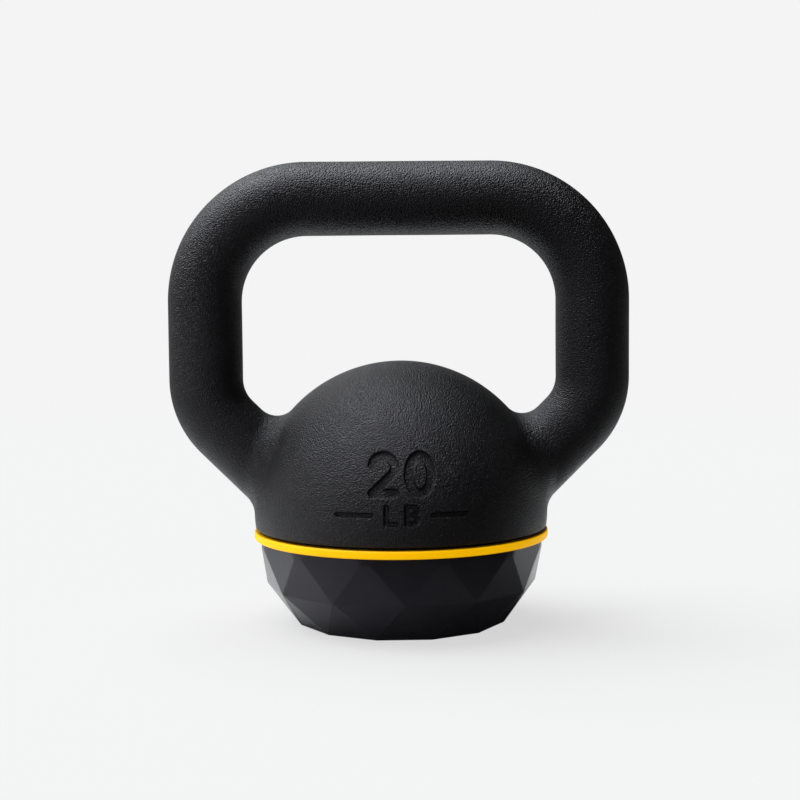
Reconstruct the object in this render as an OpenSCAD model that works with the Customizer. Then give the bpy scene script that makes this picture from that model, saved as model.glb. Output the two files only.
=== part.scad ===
// Cast iron kettlebell with a loop handle, a coloured weight band and a bolted, faceted rubber base.
// Millimetres. The floor is z = 0, the ball's axis is Z and the grip bar runs along X.

/* [Ball] */
// Diameter of the iron ball
ball_d = 132; // [120:1:150]
// Height of the ball's centre above the floor
ball_z = 51.5; // [50:0.5:55]

/* [Handle] */
// Diameter of the grip bar and of both legs
grip_d = 33; // [28:0.5:36]
// Height of the grip bar's axis above the floor
grip_z = 190; // [180:1:210]
// Overall width across the two legs
handle_w = 206.6; // [196:0.1:225]
// Radius of the two upper bends, on the axis of the bar
top_bend_r = 45.8; // [36:0.1:60]
// Height at which the legs start to bend in towards the ball
root_bend_z = 109.8; // [106:0.1:116]
// Radius of the two lower bends, on the axis of the leg
root_bend_r = 30; // [24:1:36]
// Slope of the roots, from the vertical
root_angle = 45; // [40:1:50]

/* [Weight band] */
// Outside diameter of the coloured band
band_d = 132.4; // [132:0.1:134]
// Height of the band, from its lower face to its upper face
band_h = 3.6; // [2:0.1:4]
// Gap that shows between the band and the iron above it
band_gap = 1.2; // [0.6:0.1:2]
// Radius on the band's outside edges
band_edge_r = 0.8; // [0.3:0.1:1]

/* [Rubber base] */
// Height of the rubber base, up to the face that the iron sits on
base_h = 38.3; // [36:0.1:40]
// Number of facets in each row round the base
facet_count = 12; // [10:2:16]
// Corner radius of the top outline, before its corners are trimmed round
top_corner_r = 64.75; // [64.5:0.05:65.5]
// Radius that the top corners are trimmed to
top_trim_r = 63.9; // [63.5:0.05:64.2]
// Corner radius of the widest outline below the rim
mid_corner_r = 60.8; // [59:0.1:62]
// Height of that outline
mid_z = 17.5; // [15:0.5:20]
// Corner radius of the foot that stands on the floor
foot_corner_r = 46.7; // [44:0.1:50]
// Thickness of the rubber that the clamp plate squeezes
flange_t = 8; // [6:0.5:9]

/* [Fixings] */
// Diameter of the steel clamp plate under the base
plate_d = 70; // [66:1:74]
// Thickness of the clamp plate
plate_t = 3; // [2:0.5:4]
// Number of screws
screw_count = 4; // [4]
// Diameter of the circle that the screws are on
screw_pcd = 50; // [44:1:54]
// Thread diameter of the screws
screw_d = 6; // [5:1:6]
// Length of a screw under its head
screw_len = 25; // [24:0.5:26]
// Thickness of a split lock washer
washer_t = 1.6; // [1:0.1:1.6]

/* [Hidden] */
$fn = 96;

ball_r = ball_d / 2;
grip_r = grip_d / 2;
leg_x = handle_w / 2 - grip_r;
bar_half = leg_x - top_bend_r;
top_bend_z = grip_z - top_bend_r;
root_bend_x = leg_x - root_bend_r;
// A root runs down its slope until its end is buried this far out inside the ball
root_end_x = 0.76 * ball_r;
root_len = (root_bend_x + root_bend_r * cos(root_angle) - root_end_x) / sin(root_angle);
// The root is a touch thicker than the bend, whose end runs this many degrees into it
root_r = grip_r + 0.05;
root_overlap = 1;

// Levels in the stack of iron, band and rubber
neck_r = 61;
shoulder_z = base_h + 0.1 + band_h + band_gap;
boss_r = 42;
boss_bottom_z = 22;
boss_room = 0.4;
band_bottom_z = base_h + 0.1;
band_room = 0.2;

// Levels in the fixings, from the clamped rubber down
plate_top_z = boss_bottom_z - flange_t;
plate_bottom_z = plate_top_z - plate_t;
head_top_z = plate_bottom_z - washer_t;
recess_r = plate_d / 2 + 0.5;
head_r = 5;
head_h = 6;
socket_af = 5;
socket_depth = 3;
washer_r = 5.6;
washer_slit = 1;
washer_bore_r = screw_d / 2 + 0.15;
clearance_r = screw_d / 2 + 0.3;
rubber_clearance_r = screw_d / 2 + 0.6;
thread_room = 0.05;
thread_depth = 16;
cut = 1;

// Height and radius of one ring of corners, and how far it is turned
function ring_points(r, z, turn) = [
    for (i = [0 : facet_count - 1])
        let (a = 360 * i / facet_count + turn)
        [r * cos(a), r * sin(a), z]
];

// Faces of one row of triangles between ring k and ring k + 1; the upper ring leads when lead is 1
function row_faces(k, lead) = [
    for (i = [0 : facet_count - 1])
        let (n = facet_count, j = (i + 1) % n, low = k * n, high = low + n)
        each lead == 1
            ? [[low + i, high + i, low + j], [low + j, high + i, high + j]]
            : [[low + i, high + i, high + j], [low + i, high + j, low + j]]
];

// Points of the band's outside edge, an arc about (x, y) from angle a to angle b
function edge_arc(x, y, r, a, b, steps = 4) = [
    for (i = [0 : steps])
        let (t = a + (b - a) * i / steps)
        [x + r * cos(t), y + r * sin(t)]
];

// Puts a copy of its child at each screw's place, or only at place number which
module at_screw(which) {
    rotate([0, 0, 360 * (which - 0.5) / screw_count])
        translate([screw_pcd / 2, 0, 0])
            children();
}

module at_every_screw() {
    for (i = [1 : screw_count])
        at_screw(i) children();
}

// A bend of the bar about the origin in the XZ plane, from a start angle above +X
module bend(r, start, angle) {
    rotate([90, 0, 0])
        rotate_extrude(angle = angle, start = start)
            translate([r, 0])
                circle(r = grip_r);
}

// One side of the handle, on the +X side: half the bar, both bends, the leg and its root
module handle_side() {
    translate([0, 0, grip_z])
        rotate([0, 90, 0])
            cylinder(r = grip_r, h = bar_half);
    translate([bar_half, 0, top_bend_z])
        bend(top_bend_r, 0, 90);
    translate([leg_x, 0, root_bend_z])
        cylinder(r = grip_r, h = top_bend_z - root_bend_z);
    translate([root_bend_x, 0, root_bend_z])
        bend(root_bend_r, -root_angle - root_overlap, root_angle + root_overlap);
    translate([root_bend_x, 0, root_bend_z])
        rotate([0, root_angle, 0])
            translate([root_bend_r, 0, -root_len])
                cylinder(r = root_r, h = root_len);
}

// The ball, cut off level at the shoulder that hangs over the band
module ball() {
    difference() {
        translate([0, 0, ball_z])
            sphere(r = ball_r);
        translate([0, 0, ball_z - ball_r - cut])
            cylinder(r = ball_r + cut, h = shoulder_z - ball_z + ball_r + cut);
    }
}

// The neck that carries the band, and the boss that fills the base
module neck_and_boss() {
    translate([0, 0, base_h])
        cylinder(r = neck_r, h = shoulder_z - base_h);
    translate([0, 0, boss_bottom_z])
        cylinder(r = boss_r, h = base_h - boss_bottom_z);
}

module iron_bell() {
    color("#26272b")
        difference() {
            union() {
                ball();
                neck_and_boss();
                handle_side();
                mirror([1, 0, 0]) handle_side();
            }
            at_every_screw()
                translate([0, 0, boss_bottom_z - cut])
                    cylinder(r = screw_d / 2 + thread_room, h = thread_depth + cut);
        }
}

module weight_band() {
    outer = band_d / 2 - band_edge_r;
    inner = neck_r + band_room;
    low = band_bottom_z;
    high = low + band_h;
    color("#f5c400")
        rotate_extrude()
            polygon(concat(
                [[inner, high], [inner, low]],
                edge_arc(outer, low + band_edge_r, band_edge_r, -90, 0),
                edge_arc(outer, high - band_edge_r, band_edge_r, 0, 90)
            ));
}

// The solid outside of the base: two rows of triangles between three rings of corners
module faceted_body() {
    half = 180 / facet_count;
    n = facet_count;
    polyhedron(
        points = concat(
            ring_points(foot_corner_r, 0, half),
            ring_points(mid_corner_r, mid_z, 0),
            ring_points(top_corner_r, base_h, half)
        ),
        faces = concat(
            [[for (i = [0 : n - 1]) i]],
            row_faces(0, 0),
            row_faces(1, 1),
            [[for (i = [n - 1 : -1 : 0]) 2 * n + i]]
        )
    );
}

module rubber_base() {
    color("#1b1c1e")
        difference() {
            intersection() {
                faceted_body();
                cylinder(r = top_trim_r, h = base_h);
            }
            translate([0, 0, boss_bottom_z])
                cylinder(r = boss_r + boss_room, h = base_h);
            translate([0, 0, -cut])
                cylinder(r = recess_r, h = plate_top_z + cut);
            at_every_screw()
                cylinder(r = rubber_clearance_r, h = base_h);
        }
}

module clamp_plate() {
    color("#a9acb0")
        difference() {
            translate([0, 0, plate_bottom_z])
                cylinder(d = plate_d, h = plate_t);
            at_every_screw()
                cylinder(r = clearance_r, h = base_h);
        }
}

// A socket head screw, head down, its thread drawn as a plain cylinder
module base_screw(which) {
    color("#8b8e93")
        at_screw(which)
            difference() {
                union() {
                    translate([0, 0, head_top_z - head_h])
                        cylinder(r = head_r, h = head_h);
                    translate([0, 0, head_top_z])
                        cylinder(d = screw_d, h = screw_len);
                }
                translate([0, 0, head_top_z - head_h - cut])
                    cylinder(d = socket_af / cos(30), h = socket_depth + cut, $fn = 6);
            }
}

// A split lock washer under a screw's head
module lock_washer(which) {
    color("#8b8e93")
        at_screw(which)
            translate([0, 0, head_top_z])
                difference() {
                    cylinder(r = washer_r, h = washer_t);
                    translate([0, 0, -cut])
                        cylinder(r = washer_bore_r, h = washer_t + 2 * cut);
                    translate([0, -washer_slit / 2, -cut])
                        cube([washer_r + cut, washer_slit, washer_t + 2 * cut]);
                }
}

iron_bell();
weight_band();
rubber_base();
clamp_plate();
for (i = [1 : screw_count]) {
    base_screw(i);
    lock_washer(i);
}
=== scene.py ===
# %% [markdown]
# # A cast iron kettlebell with a faceted rubber base
#
# The kettlebell is a solid iron ball with a looped handle, powder coated black. A
# coloured band sits in a groove under the ball and tells the weight at a glance. A
# moulded rubber base with twelve sides keeps it off the floor. This script loads the
# measured frame first, then builds each visible piece around it, one at a time.

# %% Load the frame
import math

import bmesh
import bpy
import numpy as np
from mathutils import Matrix, Vector


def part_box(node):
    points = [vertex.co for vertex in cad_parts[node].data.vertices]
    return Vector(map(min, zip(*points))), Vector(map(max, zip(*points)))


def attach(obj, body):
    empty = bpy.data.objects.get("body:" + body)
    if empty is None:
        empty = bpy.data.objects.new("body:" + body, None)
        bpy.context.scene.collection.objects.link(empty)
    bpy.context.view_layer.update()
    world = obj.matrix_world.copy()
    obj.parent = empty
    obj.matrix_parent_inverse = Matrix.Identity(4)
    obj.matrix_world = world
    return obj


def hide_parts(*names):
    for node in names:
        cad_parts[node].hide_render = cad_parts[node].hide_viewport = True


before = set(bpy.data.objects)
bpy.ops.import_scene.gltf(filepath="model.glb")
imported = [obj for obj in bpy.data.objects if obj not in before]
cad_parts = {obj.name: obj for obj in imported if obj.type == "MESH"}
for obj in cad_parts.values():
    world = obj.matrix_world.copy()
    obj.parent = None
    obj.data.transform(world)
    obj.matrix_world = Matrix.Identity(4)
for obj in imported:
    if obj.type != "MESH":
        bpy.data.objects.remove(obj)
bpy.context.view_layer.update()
MM = 0.001
print("frame nodes:", ", ".join(sorted(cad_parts)))

# %% [markdown]
# ## Measures taken from the frame
#
# The boxes of the frame's nodes give most of the sizes. A few inner ones, such as how
# far the handle bends, are stated once here.

# %% Main measures, all in millimetres
def box_mm(node):
    low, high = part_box(node)
    return np.array(low) / MM, np.array(high) / MM


iron_low, iron_high = box_mm("iron_bell")
band_low, band_high = box_mm("weight_band")
base_high = box_mm("rubber_base")[1]
plate_high = box_mm("clamp_plate")[1]

GRIP_R = 16.5
BALL_R = round(float(iron_high[1]), 2)
BALL_Z = 51.5
BAR_Z = float(iron_high[2]) - GRIP_R
LEG_X = float(iron_high[0]) - GRIP_R
TOP_BEND_R = 45.8
ROOT_BEND_R = 30.0
ROOT_BEND_Z = 109.8
TOP_BEND_X = LEG_X - TOP_BEND_R
TOP_BEND_Z = BAR_Z - TOP_BEND_R
ROOT_BEND_X = LEG_X - ROOT_BEND_R
print(f"ball radius {BALL_R}, bar height {BAR_Z:.1f}, legs at {LEG_X:.1f}")

# %% [markdown]
# ## The casting as a distance field
#
# Iron flows into one smooth body: the handle's legs melt into the ball through
# fillets. A field that gives the distance to the surface describes that well, since
# two shapes are joined with a fillet by one formula. The handle is a round bar whose
# centreline is made of straight runs and arcs in one plane.

# %% The handle's centreline
def nearest_on_run(x, z, start, end):
    """The closest point of a straight run, for many points at once."""
    run_x = end[0] - start[0]
    run_z = end[1] - start[1]
    along = ((x - start[0]) * run_x + (z - start[1]) * run_z) / (run_x**2 + run_z**2)
    along = np.clip(along, 0.0, 1.0)
    return start[0] + along * run_x, start[1] + along * run_z


def nearest_on_arc(x, z, centre, radius, first, last):
    """The closest point of an arc between two angles, for many points at once."""
    angle = np.arctan2(z - centre[1], x - centre[0])
    angle = np.clip(angle, first, last)
    return centre[0] + radius * np.cos(angle), centre[1] + radius * np.sin(angle)


ROOT_START = (
    ROOT_BEND_X + ROOT_BEND_R * math.cos(math.pi / 4),
    ROOT_BEND_Z - ROOT_BEND_R * math.sin(math.pi / 4),
)
ROOT_LENGTH = 39.4
ROOT_END = (
    ROOT_START[0] - ROOT_LENGTH * math.cos(math.pi / 4),
    ROOT_START[1] - ROOT_LENGTH * math.sin(math.pi / 4),
)


def handle_nearest(x, z):
    """The closest point of the handle's centreline, on the side x >= 0."""
    found = [
        nearest_on_run(x, z, (0.0, BAR_Z), (TOP_BEND_X, BAR_Z)),
        nearest_on_arc(x, z, (TOP_BEND_X, TOP_BEND_Z), TOP_BEND_R, 0.0, math.pi / 2),
        nearest_on_run(x, z, (LEG_X, TOP_BEND_Z), (LEG_X, ROOT_BEND_Z)),
        nearest_on_arc(x, z, (ROOT_BEND_X, ROOT_BEND_Z), ROOT_BEND_R, -math.pi / 4, 0.0),
        nearest_on_run(x, z, ROOT_START, ROOT_END),
    ]
    best_x, best_z = found[0]
    best = (x - best_x) ** 2 + (z - best_z) ** 2
    for near_x, near_z in found[1:]:
        far = (x - near_x) ** 2 + (z - near_z) ** 2
        closer = far < best
        best = np.where(closer, far, best)
        best_x = np.where(closer, near_x, best_x)
        best_z = np.where(closer, near_z, best_z)
    return best_x, best_z


print("the handle's root runs into the ball to x =", round(ROOT_END[0], 1))

# %% [markdown]
# ## Fillets that follow the angle between two surfaces
#
# The upper side of each root meets the ball almost at a right angle, and the outer
# side runs off it gently. One fillet radius has to look right on both, so the blend
# is made narrower where the surfaces are nearly in line. On the front and the back of a
# root it starts tight in the notch and widens further down. All sizes are in mm.

# %% The distance field of ball and handle
NOTCH_FILLET = 9.0
OUTER_FILLET = 10.5
SIDE_FILLET = 17.0
SIDE_START = 5.5
SIDE_TOP = 102.0
SIDE_RUN = 36.0
SMALLEST_FILLET = 0.05
LARGEST_FILLET = 20.0


def casting_field(points):
    """Distance in mm from many points to the cast surface, negative inside."""
    x = np.abs(points[:, 0])
    y = points[:, 1]
    z = points[:, 2]
    near_x, near_z = handle_nearest(x, z)
    tube = np.stack([x - near_x, y, z - near_z], axis=1)
    ball = np.stack([x, y, z - BALL_Z], axis=1)
    tube_length = np.linalg.norm(tube, axis=1) + 1e-9
    ball_length = np.linalg.norm(ball, axis=1) + 1e-9
    to_handle = tube_length - GRIP_R
    to_ball = ball_length - BALL_R
    in_line = np.sum(tube * ball, axis=1) / (tube_length * ball_length)
    half_turn = np.sqrt((1 + np.clip(in_line, -1, 1)) / 2)
    upper = np.clip(0.5 + (tube[:, 2] - tube[:, 0]) / (2.0 * GRIP_R), 0, 1)
    radius = OUTER_FILLET + (NOTCH_FILLET - OUTER_FILLET) * upper
    beside = np.clip((tube[:, 1] / GRIP_R) ** 2, 0, 1)
    low_down = np.clip((SIDE_TOP - z) / SIDE_RUN, 0, 1)
    side = SIDE_START + (SIDE_FILLET - SIDE_START) * low_down
    radius = radius + (side - radius) * beside
    radius = radius * (1 - half_turn) / (1 - math.cos(math.pi / 4))
    radius = np.clip(radius, SMALLEST_FILLET, LARGEST_FILLET)
    lean_handle = np.maximum(radius - to_handle, 0)
    lean_ball = np.maximum(radius - to_ball, 0)
    joined = np.maximum(radius, np.minimum(to_handle, to_ball))
    return joined - np.sqrt(lean_handle**2 + lean_ball**2)


print("field at the ball's centre:", casting_field(np.array([[0.0, 0.0, BALL_Z]])))

# %% [markdown]
# ## From a field to a mesh
#
# A surface net lays a grid over the field and puts one vertex in each cell that the
# surface crosses. Each vertex then slides down the field's slope onto the surface, so
# the mesh is as smooth as the field and its faces stay nearly square.

# %% Surface net
def surface_net(inside, origin, step):
    """Vertices and quads of the border between inside and outside grid points."""
    cells = inside[:-1, :-1, :-1].astype(np.int8) * 0
    for i in (0, 1):
        for j in (0, 1):
            for k in (0, 1):
                ends = [slice(o, o + s) for o, s in zip((i, j, k), cells.shape)]
                cells = cells + inside[tuple(ends)]
    crossed = (cells > 0) & (cells < 8)
    number = np.full(crossed.shape, -1)
    number[crossed] = np.arange(crossed.sum())
    vertices = origin + (np.argwhere(crossed) + 0.5) * step
    quads = []
    for axis in range(3):
        side, rise = (axis + 1) % 3, (axis + 2) % 3
        here = np.take(inside, range(inside.shape[axis] - 1), axis)
        there = np.take(inside, range(1, inside.shape[axis]), axis)
        for leaving in (True, False):
            edge = np.argwhere((here != there) & (here == leaving))
            edge = edge[(edge[:, side] > 0) & (edge[:, rise] > 0)]
            edge = edge[edge[:, side] < crossed.shape[side]]
            edge = edge[edge[:, rise] < crossed.shape[rise]]
            corners = []
            for back_side, back_rise in ((1, 1), (0, 1), (0, 0), (1, 0)):
                cell = edge.copy()
                cell[:, side] -= back_side
                cell[:, rise] -= back_rise
                corners.append(number[tuple(cell.T)])
            ring = np.stack(corners, axis=1)
            quads.append(ring if leaving else ring[:, ::-1])
    return vertices, np.concatenate(quads)


def slope(field, points, reach=0.02):
    """The field's gradient at many points."""
    parts = []
    for axis in range(3):
        shift = np.zeros(3)
        shift[axis] = reach
        parts.append((field(points + shift) - field(points - shift)) / (2 * reach))
    return np.stack(parts, axis=1)


def slide_onto(field, points, rounds=4):
    """Move points along the slope until they lie on the surface."""
    for _ in range(rounds):
        gradient = slope(field, points)
        size = np.sum(gradient**2, axis=1) + 1e-9
        points = points - gradient * (field(points) / size)[:, None]
    return points


def even_out(points, quads):
    """Move each vertex halfway to the mean of its neighbours."""
    total = np.zeros_like(points)
    count = np.zeros(len(points))
    for a, b in ((0, 1), (1, 2), (2, 3), (3, 0)):
        for here, there in ((quads[:, a], quads[:, b]), (quads[:, b], quads[:, a])):
            for axis in range(3):
                total[:, axis] += np.bincount(here, points[there, axis], len(points))
            count += np.bincount(here, minlength=len(points))
    mean = total / np.maximum(count, 1)[:, None]
    return points + 0.5 * (mean - points)


# %% Mesh of the upper casting
NET_STEP = 1.3
NET_MARGIN = 3
CUT_Z = 48.0
CUT_MARGIN = 3
EVEN_ROUNDS = 6


def grid_axis(low, high):
    return np.arange(low, high + NET_STEP, NET_STEP)


grid = [
    grid_axis(-iron_high[0] - NET_MARGIN, iron_high[0] + NET_MARGIN),
    grid_axis(-BALL_R - NET_MARGIN, BALL_R + NET_MARGIN),
    grid_axis(CUT_Z - 2 * CUT_MARGIN, iron_high[2] + NET_MARGIN),
]
shape = [len(g) for g in grid]
grid_points = np.stack(np.meshgrid(*grid, indexing="ij"), axis=-1).reshape(-1, 3)
inside = (casting_field(grid_points) < 0).reshape(shape)
inside[:, :, 0] = False
origin = np.array([g[0] for g in grid])
iron_points, iron_quads = surface_net(inside, origin, NET_STEP)
for _ in range(EVEN_ROUNDS):
    iron_points = even_out(iron_points, iron_quads)
    above = iron_points[:, 2] > CUT_Z - CUT_MARGIN
    iron_points[above] = slide_onto(casting_field, iron_points[above], rounds=1)
above = iron_points[:, 2] > CUT_Z - CUT_MARGIN
iron_points[above] = slide_onto(casting_field, iron_points[above])
print(f"casting net: {len(iron_points)} vertices, {len(iron_quads)} quads")

# %% [markdown]
# ## The weight mark
#
# The real casting carries sunk marks on the front of the ball. A plain weight mark,
# the number over the unit with a bar on each side, takes their place. Each stroke is a
# line of given width, so the mark is a second distance field, this time in the plane.

# %% Strokes of the mark, in millimetres
def arc_points(centre, radii, first, last, steps=24):
    """Points on part of an ellipse, angles in degrees."""
    turns = np.radians(np.linspace(first, last, steps))
    across = centre[0] + radii[0] * np.cos(turns)
    up = centre[1] + radii[1] * np.sin(turns)
    return list(zip(across, up))


NUMBER_Z = 73.6
NUMBER_HALF = 7.6
DIGIT_X = 7.6
UNIT_Z = 56.8
UNIT_HALF = 3.6
LETTER_L_X = -4.6
LETTER_B_X = 4.2
SIDE_BAR = (13.0, 27.0)


def digit_two(x, z, half):
    """The figure 2 around a centre, as one bent stroke."""
    wide = 0.62 * half
    bowl = arc_points((x, z + half - wide), (wide, wide), 165, -30)
    foot = [(x - wide, z - half), (x + wide, z - half)]
    return [bowl + foot]


def digit_zero(x, z, half):
    """The figure 0 as an oval stroke."""
    return [arc_points((x, z), (0.62 * half, half), 0, 360, 60)]


def letter_l(x, z, half):
    wide = 0.55 * half
    return [[(x - wide, z + half), (x - wide, z - half), (x + wide, z - half)]]


def letter_b(x, z, half):
    wide = 0.6 * half
    strokes = []
    for middle in (z + half / 2, z - half / 2):
        bowl = arc_points((x, middle), (wide, half / 2), 90, -90, 16)
        strokes.append([(x - wide, middle + half / 2)] + bowl + [(x - wide, middle - half / 2)])
    return strokes + [[(x - wide, z + half), (x - wide, z - half)]]


big_strokes = digit_two(-DIGIT_X, NUMBER_Z, NUMBER_HALF)
big_strokes += digit_zero(DIGIT_X, NUMBER_Z, NUMBER_HALF)
small_strokes = letter_l(LETTER_L_X, UNIT_Z, UNIT_HALF)
small_strokes += letter_b(LETTER_B_X, UNIT_Z, UNIT_HALF)
for side in (-1, 1):
    small_strokes.append([(side * end, UNIT_Z) for end in SIDE_BAR])
print("strokes in the mark:", len(big_strokes) + len(small_strokes))


# %% The mark as a field
BIG_STROKE = 1.75
SMALL_STROKE = 0.95
MARK_X = -1.0


def mark_field(x, z):
    """Distance in mm to the outline of the mark in the plane, negative inside."""
    x = x - MARK_X
    best = np.full(len(x), 99.0)
    for strokes, half_width in ((big_strokes, BIG_STROKE), (small_strokes, SMALL_STROKE)):
        for stroke in strokes:
            for start, end in zip(stroke[:-1], stroke[1:]):
                near_x, near_z = nearest_on_run(x, z, start, end)
                far = np.hypot(x - near_x, z - near_z) - half_width
                best = np.minimum(best, far)
    return best


print("mark field at its centre:", mark_field(np.full(1, MARK_X), np.full(1, NUMBER_Z)).round(2))

# %% [markdown]
# ## Carving the mark and closing the casting
#
# Only the faces near the mark's outline need to be small. They are split three times,
# each time in a narrower strip, and slid back onto the ball before they are sunk. The
# part below the ball is round about its axis, so the open edge of the net is drawn
# down along a profile: the lower edge of the ball, the neck behind the band and the
# boss that sits in the rubber base.

# %% Helpers for vertices
def read_points(bm):
    return np.array([v.co for v in bm.verts])


def write_points(bm, points):
    for vertex, point in zip(bm.verts, points):
        vertex.co = point


def keep_flat_ngons_out(bm):
    """Split every face with more than four corners into triangles."""
    wide = [f for f in bm.faces if len(f.verts) > 4]
    bmesh.ops.triangulate(bm, faces=wide)


# %% Split the faces around the mark
iron = bmesh.new()
for point in iron_points:
    iron.verts.new(point)
iron.verts.ensure_lookup_table()
for quad in iron_quads:
    iron.faces.new([iron.verts[i] for i in quad])
iron.normal_update()

PIT = np.array([-89.6, -16.2, 145.8])
PIT_R = 0.75
PIT_DEPTH = 0.5
FRONT_Y = -20
STRIPS = (2.4, 1.3, 0.6)

for strip in STRIPS:
    middles = np.array([f.calc_center_median() for f in iron.faces])
    front = middles[:, 1] < FRONT_Y
    near = np.zeros(len(middles), bool)
    near[front] = np.abs(mark_field(middles[front, 0], middles[front, 2])) < strip
    if strip == STRIPS[0]:
        near[front] = mark_field(middles[front, 0], middles[front, 2]) < strip
    near |= np.linalg.norm(middles - PIT, axis=1) < PIT_R + strip
    iron.faces.ensure_lookup_table()
    edges = {e for i in np.flatnonzero(near) for e in iron.faces[i].edges}
    bmesh.ops.subdivide_edges(iron, edges=list(edges), cuts=1, use_grid_fill=True)
    keep_flat_ngons_out(iron)
print("faces after splitting:", len(iron.faces))

# %% Sink the mark and add the casting's slight waves
MARK_DEPTH = 1.1
MARK_SLOPE = 0.4
MARK_REACH = 20
WAVE = 0.05
CALM_RUN = 6


def casting_waves(points):
    """A slight unevenness left by the mould, never above the true surface."""
    x, y, z = points.T
    waves = np.sin(x / 9.0 + 1.3 * np.sin(z / 14.0)) + np.sin(y / 8.0 + z / 17.0)
    waves = waves + np.sin(z / 7.5 - x / 21.0 + y / 13.0)
    return WAVE * (waves - 3.0) / 3.0


points = read_points(iron)
above = points[:, 2] > CUT_Z - CUT_MARGIN
points[above] = slide_onto(casting_field, points[above], rounds=3)
normals = slope(casting_field, points)
normals = normals / (np.linalg.norm(normals, axis=1) + 1e-9)[:, None]
sunk = np.zeros(len(points))
front = (points[:, 1] < FRONT_Y) & (points[:, 2] < NUMBER_Z + MARK_REACH)
edge = mark_field(points[front, 0], points[front, 2]) / MARK_SLOPE
edge = np.clip(0.5 - edge / 2, 0, 1)
sunk[front] = MARK_DEPTH * edge * edge * (3 - 2 * edge)
sunk += PIT_DEPTH * np.exp(-(np.linalg.norm(points - PIT, axis=1) / PIT_R) ** 2)
calm = np.clip((points[:, 2] - CUT_Z) / CALM_RUN, 0, 1)
points = points + normals * (casting_waves(points) * calm - sunk)[:, None]
write_points(iron, points)
print("deepest point of the mark in mm:", round(float(sunk.max()), 2))

# %% Draw the lower edge, the neck and the boss
SHOULDER_Z = 43.2
SHOULDER_EDGE = 0.7
NECK_R = 61.0
NECK_Z = float(base_high[2])
BOSS_R = 42.0
BOSS_Z = float(iron_low[2])
HOLE_R = 3.05
HOLE_TOP = 38.0
HOLE_CIRCLE = 25.0


def ball_edge_radius(z):
    return math.sqrt(BALL_R**2 - (z - BALL_Z) ** 2)


corner_z = SHOULDER_Z + SHOULDER_EDGE
corner_r = math.sqrt((BALL_R - SHOULDER_EDGE) ** 2 - (BALL_Z - corner_z) ** 2)
lower_profile = [(ball_edge_radius(z), z) for z in (46.8, 45.6, 44.7)]
corner_start = math.atan2(corner_z - BALL_Z, corner_r)
for i in range(7):
    turn = corner_start + (-math.pi / 2 - corner_start) * i / 6
    lower_profile.append(
        (corner_r + SHOULDER_EDGE * math.cos(turn), corner_z + SHOULDER_EDGE * math.sin(turn))
    )
lower_profile += [(NECK_R + 0.5, SHOULDER_Z), (NECK_R, SHOULDER_Z - 0.5), (NECK_R, NECK_Z)]
lower_profile += [(BOSS_R, NECK_Z), (BOSS_R, BOSS_Z + 1), (BOSS_R - 1, BOSS_Z)]

whole = list(iron.verts) + list(iron.edges) + list(iron.faces)
bmesh.ops.bisect_plane(
    iron, geom=whole, plane_co=(0, 0, CUT_Z), plane_no=(0, 0, 1), clear_inner=True
)
rim = [e for e in iron.edges if e.is_boundary]
for radius, height in lower_profile:
    drawn = bmesh.ops.extrude_edge_only(iron, edges=rim)["geom"]
    rim = [g for g in drawn if isinstance(g, bmesh.types.BMEdge)]
    rim = [e for e in rim if e.is_boundary]
    for vertex in {v for e in rim for v in e.verts}:
        turn = math.atan2(vertex.co.y, vertex.co.x)
        vertex.co = (radius * math.cos(turn), radius * math.sin(turn), height)
print("vertices around the neck:", len(rim))

# %% Close the boss around its four tapped holes
hole_places = []
for i in range(4):
    turn = math.radians(45 + 90 * i)
    hole_places.append((HOLE_CIRCLE * math.cos(turn), HOLE_CIRCLE * math.sin(turn)))

hole_rims = []
for x, y in hole_places:
    ring = bmesh.ops.create_circle(
        iron, segments=32, radius=HOLE_R, matrix=Matrix.Translation((x, y, BOSS_Z))
    )
    hole_rims.append({e for v in ring["verts"] for e in v.link_edges})
flat_edges = rim + [e for hole in hole_rims for e in hole]
bmesh.ops.triangle_fill(iron, edges=flat_edges, use_beauty=True, normal=(0, 0, -1))
for hole in hole_rims:
    drawn = bmesh.ops.extrude_edge_only(iron, edges=list(hole))["geom"]
    top = [g for g in drawn if isinstance(g, bmesh.types.BMEdge) and g.is_boundary]
    for vertex in {v for e in top for v in e.verts}:
        vertex.co.z = HOLE_TOP
    bmesh.ops.edgeloop_fill(iron, edges=top)
keep_flat_ngons_out(iron)
bmesh.ops.recalc_face_normals(iron, faces=iron.faces)
print("open edges left in the casting:", sum(e.is_boundary for e in iron.edges))


# %% [markdown]
# ## Turning mesh code into pieces
#
# Each piece becomes an object in metres. It rides on the one body that this part has
# and stands for the frame's node of the same place.

# %% Make a piece
def make_piece(name, bm, node, sharp_angle=40):
    """A named object from mesh code in millimetres, standing for one frame node."""
    bmesh.ops.scale(bm, vec=(MM, MM, MM), verts=bm.verts)
    mesh = bpy.data.meshes.new(name)
    bm.to_mesh(mesh)
    bm.free()
    mesh.polygons.foreach_set("use_smooth", [True] * len(mesh.polygons))
    mesh.set_sharp_from_angle(angle=math.radians(sharp_angle))
    piece = bpy.data.objects.new(name, mesh)
    bpy.context.scene.collection.objects.link(piece)
    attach(piece, "root")
    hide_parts(node)
    print(f"{name}: {len(mesh.polygons)} faces")
    return piece


iron_piece = make_piece("iron_casting", iron, "iron_bell")

# %% [markdown]
# ## The weight band
#
# The band is a soft silicone ring, moulded with round edges and stretched into the
# groove. It is round about the axis, so a profile turned in many steps makes it.

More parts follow.
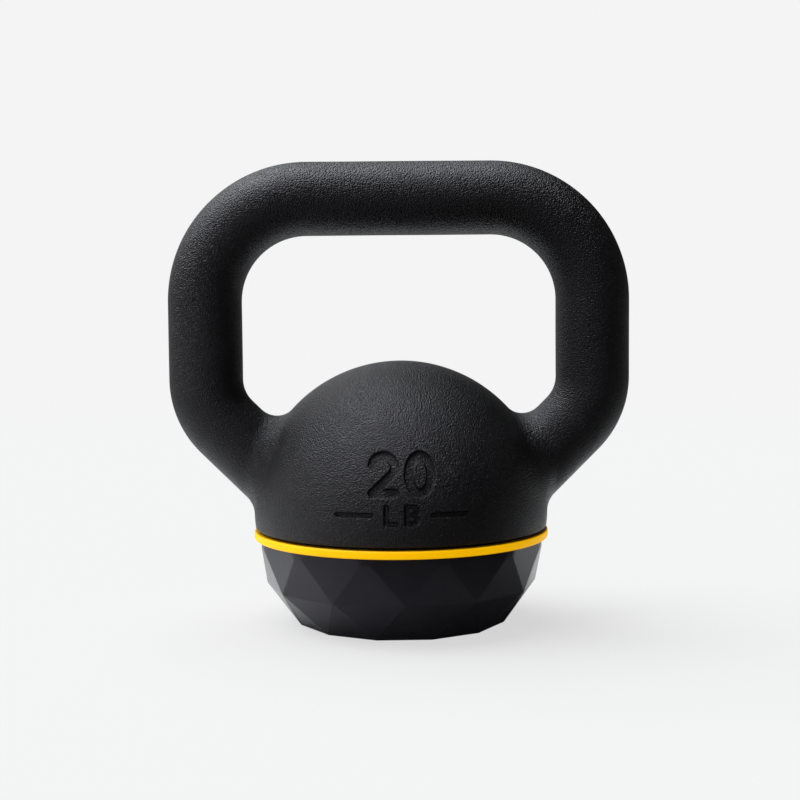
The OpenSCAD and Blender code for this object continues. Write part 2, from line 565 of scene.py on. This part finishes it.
# %% Turn a profile about the axis
def turned(profile, steps):
    """A closed ring of quads from a closed profile of (radius, height)."""
    bm = bmesh.new()
    rings = []
    for i in range(steps):
        turn = 2 * math.pi * i / steps
        ring = [bm.verts.new((r * math.cos(turn), r * math.sin(turn), z)) for r, z in profile]
        rings.append(ring)
    count = len(profile)
    for i in range(steps):
        here, there = rings[i], rings[(i + 1) % steps]
        for j in range(count):
            k = (j + 1) % count
            bm.faces.new((here[j], there[j], there[k], here[k]))
    bmesh.ops.recalc_face_normals(bm, faces=bm.faces)
    return bm


def rounded_corner(centre, radius, first, last, steps):
    """Points on a quarter circle of a profile, angles in degrees."""
    return arc_points(centre, (radius, radius), first, last, steps)


BAND_R = float(band_high[0])
BAND_INNER = 61.2
BAND_EDGE = 0.9
INNER_EDGE = 0.4
band_profile = []
band_profile += rounded_corner(
    (BAND_R - BAND_EDGE, band_high[2] - BAND_EDGE), BAND_EDGE, 90, 0, 7
)
band_profile += rounded_corner(
    (BAND_R - BAND_EDGE, band_low[2] + BAND_EDGE), BAND_EDGE, 0, -90, 7
)
band_profile += rounded_corner(
    (BAND_INNER + INNER_EDGE, band_low[2] + INNER_EDGE), INNER_EDGE, 270, 180, 4
)
band_profile += rounded_corner(
    (BAND_INNER + INNER_EDGE, band_high[2] - INNER_EDGE), INNER_EDGE, 180, 90, 4
)
band_piece = make_piece("weight_band_ring", turned(band_profile, 240), "weight_band")

# %% [markdown]
# ## The rubber base
#
# The base is a twelve sided drum of triangles: a foot ring, a wider ring of corners in
# the middle turned by half a side, and the round top under the band. Its edges are
# slightly soft from the mould. It is built as a plain hull of corners, and its edges
# are then bevelled, which keeps every facet truly flat.

# %% Corners of the base, read from the frame's own mesh
base_points = np.array([v.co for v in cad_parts["rubber_base"].data.vertices]) / MM
SIDES = 12
MID_Z = 17.5


def ring_radius(height):
    """The largest radius of the frame's mesh near one height."""
    level = base_points[np.abs(base_points[:, 2] - height) < 0.05]
    return float(np.hypot(level[:, 0], level[:, 1]).max())


FOOT_R = ring_radius(0.0)
MID_R = ring_radius(MID_Z)
TOP_Z = float(base_high[2])
TOP_R = 64.75
RIM_R = 63.9
POCKET_R = 42.4
POCKET_Z = 22.0
RECESS_R = 35.5
RECESS_Z = float(plate_high[2])
print(f"base rings: foot {FOOT_R:.2f}, middle {MID_R:.2f}, rim {ring_radius(TOP_Z):.2f}")


# %% Hull of the base with soft edges
FACET_SOFTNESS = 0.55


def ring_of_corners(bm, radius, height, half_side):
    corners = []
    for i in range(SIDES):
        turn = 2 * math.pi * (i + (0.5 if half_side else 0.0)) / SIDES - math.pi / 2
        corners.append(bm.verts.new((radius * math.cos(turn), radius * math.sin(turn), height)))
    return corners


base = bmesh.new()
foot = ring_of_corners(base, FOOT_R, 0.0, True)
middle = ring_of_corners(base, MID_R, MID_Z, False)
top = ring_of_corners(base, TOP_R, TOP_Z, True)
for i in range(SIDES):
    after = (i + 1) % SIDES
    base.faces.new((foot[i], middle[after], middle[i]))
    base.faces.new((foot[i], foot[after], middle[after]))
    base.faces.new((top[i], middle[i], middle[after]))
    base.faces.new((top[i], middle[after], top[after]))
base.faces.new(foot)
base.faces.new(top)
bmesh.ops.recalc_face_normals(base, faces=base.faces)
side_edges = [e for e in base.edges if abs(e.verts[0].co.z - e.verts[1].co.z) > 1]
side_edges += [e for e in base.edges if all(abs(v.co.z - MID_Z) < 1 for v in e.verts)]
bmesh.ops.bevel(
    base, geom=side_edges, offset=FACET_SOFTNESS, segments=3, profile=0.5,
    affect="EDGES", clamp_overlap=True,
)
print("faces of the bevelled hull:", len(base.faces))

# %% Trim the rim round
RIM_BAND = 7
LONGEST_RIM_EDGE = 1.4
RIM_ZONE_R = 60

for _ in range(4):
    tall = [
        e for e in base.edges
        if max(v.co.z for v in e.verts) > TOP_Z - RIM_BAND and e.calc_length() > LONGEST_RIM_EDGE
        and max(math.hypot(v.co.x, v.co.y) for v in e.verts) > RIM_ZONE_R
    ]
    bmesh.ops.subdivide_edges(base, edges=tall, cuts=1, use_grid_fill=True)
    bmesh.ops.triangulate(base, faces=[f for f in base.faces if 4 < len(f.verts) < 40])
for vertex in base.verts:
    radius = math.hypot(vertex.co.x, vertex.co.y)
    if radius > RIM_R:
        vertex.co.x *= RIM_R / radius
        vertex.co.y *= RIM_R / radius
print("vertices of the base:", len(base.verts))


# %% [markdown]
# ## Hollows of the base
#
# The boss of the casting sits in a round pocket, and a recess in the underside hides a
# steel plate with four screws. Cutting those out with booleans keeps the outside as it
# is.

# %% Cut the hollows
def turned_solid(profile, steps):
    """A closed solid of revolution from a profile that starts and ends on the axis."""
    bm = bmesh.new()
    low = bm.verts.new((0, 0, profile[0][1]))
    high = bm.verts.new((0, 0, profile[-1][1]))
    rings = []
    for radius, height in profile[1:-1]:
        ring = []
        for i in range(steps):
            turn = 2 * math.pi * i / steps
            ring.append(bm.verts.new((radius * math.cos(turn), radius * math.sin(turn), height)))
        rings.append(ring)
    for i in range(steps):
        after = (i + 1) % steps
        bm.faces.new((low, rings[0][i], rings[0][after]))
        bm.faces.new((high, rings[-1][after], rings[-1][i]))
        for here, there in zip(rings[:-1], rings[1:]):
            bm.faces.new((here[i], there[i], there[after], here[after]))
    bmesh.ops.recalc_face_normals(bm, faces=bm.faces)
    return bm


def loose_object(name, bm):
    """An object in millimetres that only helps to build a piece."""
    mesh = bpy.data.meshes.new(name)
    bm.to_mesh(mesh)
    bm.free()
    helper = bpy.data.objects.new(name, mesh)
    bpy.context.scene.collection.objects.link(helper)
    return helper


def cut_away(target, cutter):
    """Apply an exact boolean difference, then remove the cutter."""
    cut = target.modifiers.new("cut", "BOOLEAN")
    cut.operation = "DIFFERENCE"
    cut.solver = "EXACT"
    cut.object = cutter
    graph = bpy.context.evaluated_depsgraph_get()
    mesh = bpy.data.meshes.new_from_object(target.evaluated_get(graph))
    target.modifiers.clear()
    target.data = mesh
    bpy.data.objects.remove(cutter)


LIP = 1.2
recess_profile = [(0, -2), (RECESS_R + LIP + 0.6, -2), (RECESS_R + LIP, 0.0)]
recess_profile += [
    (RECESS_R + LIP - LIP * math.sin(t), LIP - LIP * math.cos(t))
    for t in np.linspace(math.pi / 8, math.pi / 2, 4)
]
recess_profile += [(RECESS_R, RECESS_Z), (0, RECESS_Z)]
pocket_profile = [(0, POCKET_Z), (POCKET_R, POCKET_Z), (POCKET_R, TOP_Z + 2), (0, TOP_Z + 2)]
SCREW_GAP_R = 3.6

base_object = loose_object("base_build", base)
cut_away(base_object, loose_object("pocket", turned_solid(pocket_profile, 144)))
cut_away(base_object, loose_object("recess", turned_solid(recess_profile, 144)))
drill_profile = [(0, 10), (SCREW_GAP_R, 10), (SCREW_GAP_R, 26), (0, 26)]
for x, y in hole_places:
    drill = turned_solid(drill_profile, 32)
    bmesh.ops.translate(drill, vec=(x, y, 0), verts=drill.verts)
    cut_away(base_object, loose_object("drill", drill))
base = bmesh.new()
base.from_mesh(base_object.data)
bpy.data.objects.remove(base_object)
base_piece = make_piece("rubber_base_moulding", base, "rubber_base", 25)
smooth = base_piece.modifiers.new("flat facets", "WEIGHTED_NORMAL")
smooth.keep_sharp = True
smooth.weight = 80


# %% [markdown]
# ## Writing shaders as arithmetic
#
# Node trees are easier to read as formulas. A small class wraps a socket, so adding,
# multiplying or taking a value away from one makes the Math node behind the scenes.
# Every other node comes from one method that sets the node up and fills its sockets.

# %% The shader helper
class Value:
    """A shader socket that works in ordinary arithmetic."""

    def __init__(self, shader, socket):
        self.shader = shader
        self.socket = socket

    def math(self, operation, first, second):
        return self.shader.node(
            "ShaderNodeMath", {"operation": operation}, {0: first, 1: second}
        )["Value"]

    def __add__(self, other):
        return self.math("ADD", self, other)

    __radd__ = __add__

    def __sub__(self, other):
        return self.math("SUBTRACT", self, other)

    def __rsub__(self, other):
        return self.math("SUBTRACT", other, self)

    def __mul__(self, other):
        return self.math("MULTIPLY", self, other)

    __rmul__ = __mul__

    def __pow__(self, other):
        return self.math("POWER", self, other)


class Outputs:
    """The outputs of one node, found by name."""

    def __init__(self, shader, node):
        self.shader = shader
        self.node = node

    def __getitem__(self, name):
        return Value(self.shader, self.node.outputs[name])


class Shader:
    """One node tree and the ways to add to it."""

    def __init__(self, owner):
        owner.use_nodes = True
        self.tree = owner.node_tree
        self.tree.nodes.clear()

    def node(self, kind, settings, inputs):
        """Add a node: its settings first, then the values or links of its sockets."""
        made = self.tree.nodes.new(kind)
        for name, value in settings.items():
            setattr(made, name, value)
        for name, value in inputs.items():
            if isinstance(value, Value):
                self.tree.links.new(value.socket, made.inputs[name])
            else:
                made.inputs[name].default_value = value
        return Outputs(self, made)

    def grain(self, place, scale, detail, rough):
        """Soft noise between 0 and 1, its cells about one over scale metres wide."""
        settings = {"noise_dimensions": "3D"}
        inputs = {"Vector": place, "Scale": scale, "Detail": detail, "Roughness": rough}
        return self.node("ShaderNodeTexNoise", settings, inputs)["Fac"]

    def stretch(self, value, low, high):
        """Map a range of values smoothly onto 0 to 1."""
        settings = {"interpolation_type": "SMOOTHSTEP"}
        inputs = {"Value": value, "From Min": low, "From Max": high, "To Min": 0.0, "To Max": 1.0}
        return self.node("ShaderNodeMapRange", settings, inputs)["Result"]

    def mix_colour(self, factor, first, second):
        """Blend two colours by a factor."""
        inputs = {0: factor, 6: first, 7: second}
        return self.node("ShaderNodeMix", {"data_type": "RGBA"}, inputs)[2]

    def bump(self, height, strength, distance):
        """Turn a height into a tilted normal, distance in metres."""
        inputs = {"Height": height, "Strength": strength, "Distance": distance}
        return self.node("ShaderNodeBump", {}, inputs)["Normal"]

    def finish(self, surface_inputs):
        """A Principled surface joined to the output."""
        surface = self.node("ShaderNodeBsdfPrincipled", {}, surface_inputs)
        self.node("ShaderNodeOutputMaterial", {}, {"Surface": surface["BSDF"]})


def grey(level):
    return (level, level, level, 1.0)


def new_material(name):
    material = bpy.data.materials.new(name)
    return material, Shader(material)


def dress(piece, material):
    """Give a piece its one material."""
    piece.data.materials.clear()
    piece.data.materials.append(material)


# %% [markdown]
# ## Black powder coat
#
# Powder coat on rough iron dries with a fine orange peel. The colour is almost black,
# so nearly all that is seen is gloss, broken up by the peel. Rounded cells from a smooth
# Voronoi pattern give the pebbles, and two noises keep them from looking regular. Dust
# and skin oil make the gloss uneven over larger patches.

# %% Powder coat material
def powder_coat():
    material, shader = new_material("black_powder_coat")
    place = shader.node("ShaderNodeTexCoord", {}, {})["Object"]
    pebbles = shader.node(
        "ShaderNodeTexVoronoi", {"feature": "SMOOTH_F1"},
        {"Vector": place, "Scale": 1500.0, "Smoothness": 0.6, "Randomness": 1.0},
    )["Distance"]
    peel = shader.grain(place, 1700.0, detail=1.0, rough=0.5)
    pores = shader.grain(place, 2100.0, detail=1.0, rough=0.5)
    patches = shader.grain(place, 26.0, detail=4.0, rough=0.55)
    wear = shader.stretch(patches, 0.35, 0.7)
    colour = shader.mix_colour(wear, (0.0035, 0.0035, 0.0037, 1), (0.0065, 0.0065, 0.0068, 1))
    roughness = 0.34 + 0.09 * wear + 0.08 * (pores - 0.5)
    height = peel * 0.55 + pores * 0.25 - pebbles * 0.5
    shader.finish({
        "Base Color": colour,
        "Roughness": roughness,
        "Specular IOR Level": 0.5,
        "Specular Tint": (0.92, 0.90, 1.0, 1.0),
        "Normal": shader.bump(height, 1.0, 0.0007),
    })
    return material


dress(iron_piece, powder_coat())


# %% [markdown]
# ## Yellow silicone
#
# Silicone is dyed right through. Its open outer face is given a painted glow, an emission
# in its own yellow, so its colour stays strong even in shade. Its surface is smooth with
# a satin gloss and picks up dust.

# %% Silicone material
def yellow_silicone():
    material, shader = new_material("yellow_silicone")
    place = shader.node("ShaderNodeTexCoord", {}, {})["Object"]
    clouds = shader.grain(place, 90.0, detail=3.0, rough=0.6)
    fine = shader.grain(place, 2200.0, detail=1.0, rough=0.5)
    colour = shader.mix_colour(clouds, (1.0, 0.49, 0.0, 1), (1.0, 0.55, 0.0, 1))
    split = shader.node("ShaderNodeSeparateXYZ", {}, {"Vector": place})
    radius = (split["X"] * split["X"] + split["Y"] * split["Y"]) ** 0.5
    # Painted glow: only the open outer face emits its own yellow, so the band stays bright where
    # shaded.
    painted_glow_face = shader.stretch(radius, (BAND_R - 0.75) * MM, (BAND_R - 0.05) * MM)
    glow = shader.mix_colour(painted_glow_face, (0.0, 0.0, 0.0, 1), colour)
    shader.finish({
        "Base Color": colour,
        "Roughness": 0.38 + 0.1 * clouds,
        "Emission Color": glow,
        "Emission Strength": 0.66,
        "Specular IOR Level": 0.22,
        "Normal": shader.bump(fine, 0.15, 0.00008),
    })
    return material


dress(band_piece, yellow_silicone())


# %% [markdown]
# ## Moulded rubber
#
# The base is black rubber straight from an eroded steel mould: satin, finely grained,
# slightly violet and a shade lighter than the coated iron. At low angles it turns grey,
# as dusty rubber does.

# %% Rubber material
def moulded_rubber():
    material, shader = new_material("moulded_black_rubber")
    place = shader.node("ShaderNodeTexCoord", {}, {})["Object"]
    mould = shader.grain(place, 1500.0, detail=2.0, rough=0.6)
    bloom = shader.grain(place, 34.0, detail=5.0, rough=0.6)
    dust = shader.stretch(bloom, 0.4, 0.75)
    colour = shader.mix_colour(dust, (0.0270, 0.0259, 0.0330, 1), (0.0320, 0.0306, 0.0385, 1))
    shader.finish({
        "Base Color": colour,
        "Roughness": 0.24 + 0.03 * dust,
        "Specular IOR Level": 0.36,
        "Specular Tint": (0.89, 0.87, 1.0, 1.0),
        "Normal": shader.bump(mould, 0.35, 0.00012),
    })
    return material


dress(base_piece, moulded_rubber())


# %% [markdown]
# ## Zinc plated steel
#
# The clamp plate, the screws and their lock washers are zinc plated: pale metal with a
# slight brushed or tumbled grain and cloudy patches of passivation.

# %% Plated steel material
def plated_steel(name, tint, roughness, scale):
    material, shader = new_material(name)
    place = shader.node("ShaderNodeTexCoord", {}, {})["Object"]
    clouds = shader.grain(place, scale, detail=4.0, rough=0.55)
    scratches = shader.grain(place, scale * 12, detail=2.0, rough=0.6)
    darker = tuple(0.8 * part for part in tint[:3]) + (1.0,)
    shader.finish({
        "Base Color": shader.mix_colour(clouds, darker, tint),
        "Metallic": 1.0,
        "Roughness": roughness + 0.14 * (clouds - 0.5) + 0.1 * (scratches - 0.5),
        "Normal": shader.bump(scratches, 0.2, 0.00005),
    })
    return material


plate_material = plated_steel("zinc_plated_plate", (0.60, 0.61, 0.62, 1), 0.42, 70.0)
screw_material = plated_steel("zinc_plated_screw", (0.66, 0.67, 0.68, 1), 0.30, 160.0)
dress(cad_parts["clamp_plate"], plate_material)
for name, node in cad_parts.items():
    if name.startswith(("base_screw", "lock_washer")):
        dress(node, screw_material)

# %% [markdown]
# ## A pale floor
#
# A plain floor fades into the backdrop at its rim. The camera sees it bright, but what
# it throws back onto the object is set apart and much dimmer, because black iron over a
# bright floor would turn grey from below. That dimmer colour is painted shade: darker in
# front and to the right, away from the softbox, and darker further out. It lies a hair
# under the foot.

# %% Floor
FLOOR_R = 1.6
FLOOR_SHADE = 0.18
FLOOR_GLOW = 0.645
FLOOR_DROP = 0.1


def pale_floor():
    bm = bmesh.new()
    bmesh.ops.create_circle(bm, cap_ends=True, cap_tris=True, segments=96, radius=FLOOR_R)
    mesh = bpy.data.meshes.new("floor")
    bm.to_mesh(mesh)
    bm.free()
    floor = bpy.data.objects.new("floor", mesh)
    floor.location.z = -FLOOR_DROP * MM
    bpy.context.scene.collection.objects.link(floor)
    material, shader = new_material("pale_floor")
    place = shader.node("ShaderNodeTexCoord", {}, {})["Object"]
    far = shader.node("ShaderNodeVectorMath", {"operation": "LENGTH"}, {0: place})["Value"]
    seen = shader.node("ShaderNodeLightPath", {}, {})["Is Camera Ray"]
    split = shader.node("ShaderNodeSeparateXYZ", {}, {"Vector": place})
    # Painted shade: the colour thrown back onto the object is darker away from the softbox and
    # further out.
    towards_light = 0.9 * split["Y"] - 0.4 * split["X"]
    painted_bounce_shade = 0.03 + 0.73 * shader.stretch(towards_light, -0.15, 0.05)
    painted_bounce_shade = painted_bounce_shade * (1 - 0.78 * shader.stretch(far, 0.18, 0.45))
    shader.finish({
        "Base Color": shader.mix_colour(
            1.0, grey(0.0), painted_bounce_shade + seen * (FLOOR_SHADE - painted_bounce_shade)
        ),
        "Roughness": 0.9,
        "Specular IOR Level": 0.0,
        "Emission Color": shader.mix_colour(seen, grey(0.0), grey(FLOOR_GLOW)),
        "Emission Strength": 1.0,
        "Alpha": 1 - shader.stretch(far, 0.35 * FLOOR_R, 0.95 * FLOOR_R),
    })
    dress(floor, material)


pale_floor()

# %% [markdown]
# ## Soft studio light
#
# One large soft light hangs overhead and to the left. The backdrop looks nearly white,
# while the reflections get a one-sided and dimmer room: a bright left, a little from
# behind and in front, and dark elsewhere. That keeps the iron black and its shape clear.

# %% Light
BACKDROP = 0.905


def studio_world():
    """White behind for the eye, dimmer and one-sided for the reflections."""
    world = bpy.data.worlds.new("studio")
    bpy.context.scene.world = world
    shader = Shader(world)
    way = shader.node("ShaderNodeTexCoord", {}, {})["Generated"]
    split = shader.node("ShaderNodeSeparateXYZ", {}, {"Vector": way})
    left = shader.stretch(split["X"], 0.35, -0.9)
    behind = shader.stretch(split["Y"], 0.92, 0.98)
    front = shader.stretch(split["Y"], -0.2, -0.9)
    below = shader.stretch(split["Z"], 0.05, -0.05)
    glow = 0.025 + 0.56 * left + 0.17 * behind + 0.13 * front
    glow = glow + below * (0.24 - glow)
    seen = shader.node("ShaderNodeLightPath", {}, {})["Is Camera Ray"]
    strength = glow + seen * (BACKDROP - glow)
    background = shader.node(
        "ShaderNodeBackground", {}, {"Color": grey(1.0), "Strength": strength}
    )
    shader.node("ShaderNodeOutputWorld", {}, {"Surface": background["Background"]})


def soft_light(name, towards, wide, strength, colour):
    """A distant light as wide as a large softbox, shining from a direction."""
    data = bpy.data.lights.new(name, "SUN")
    data.angle = math.radians(wide)
    data.energy = strength
    data.color = colour
    light = bpy.data.objects.new(name, data)
    light.rotation_mode = "QUATERNION"
    light.rotation_quaternion = Vector(towards).normalized().to_track_quat("Z", "Y")
    bpy.context.scene.collection.objects.link(light)
    return light


studio_world()
SOFTBOX_TOWARDS = (-0.33, 0.21, 0.92)
SOFTBOX_WIDE = 62
SOFTBOX_STRENGTH = 4.2
SOFTBOX_COLOUR = (0.97, 1.0, 1.005)
soft_light("overhead_softbox", SOFTBOX_TOWARDS, SOFTBOX_WIDE, SOFTBOX_STRENGTH, SOFTBOX_COLOUR)
bpy.context.scene.view_settings.view_transform = "Standard"

# %% [markdown]
# ## Camera
#
# The camera stands level with the handle, three quarters of a metre away, and looks
# slightly down with a short telephoto lens, which keeps the ball round. Distances are
# in metres, angles in radians and the lens in millimetres.

# %% Camera
CAMERA_FAR = 0.750
CAMERA_HEIGHT = 0.1591
CAMERA_TURN = -0.023
CAMERA_PITCH = 0.079
CAMERA_ROLL = -0.009
LENS = 75.18

camera_data = bpy.data.cameras.new("camera")
camera_data.sensor_width = 36.0
camera_data.lens = LENS
camera_data.clip_start = 0.05
camera_data.clip_end = 20.0
camera = bpy.data.objects.new("camera", camera_data)
bpy.context.scene.collection.objects.link(camera)
forward = Vector((
    -math.sin(CAMERA_TURN) * math.cos(CAMERA_PITCH),
    math.cos(CAMERA_TURN) * math.cos(CAMERA_PITCH),
    -math.sin(CAMERA_PITCH),
))
level = forward.cross(Vector((0, 0, 1))).normalized()
upright = level.cross(forward)
right = level * math.cos(CAMERA_ROLL) + upright * math.sin(CAMERA_ROLL)
up = right.cross(forward)
turn = Matrix((right, up, -forward)).transposed().to_4x4()
place = Vector((
    CAMERA_FAR * math.sin(CAMERA_TURN), -CAMERA_FAR * math.cos(CAMERA_TURN), CAMERA_HEIGHT
))
camera.matrix_world = Matrix.Translation(place) @ turn
bpy.context.scene.camera = camera
print("camera at", [round(v, 3) for v in place])
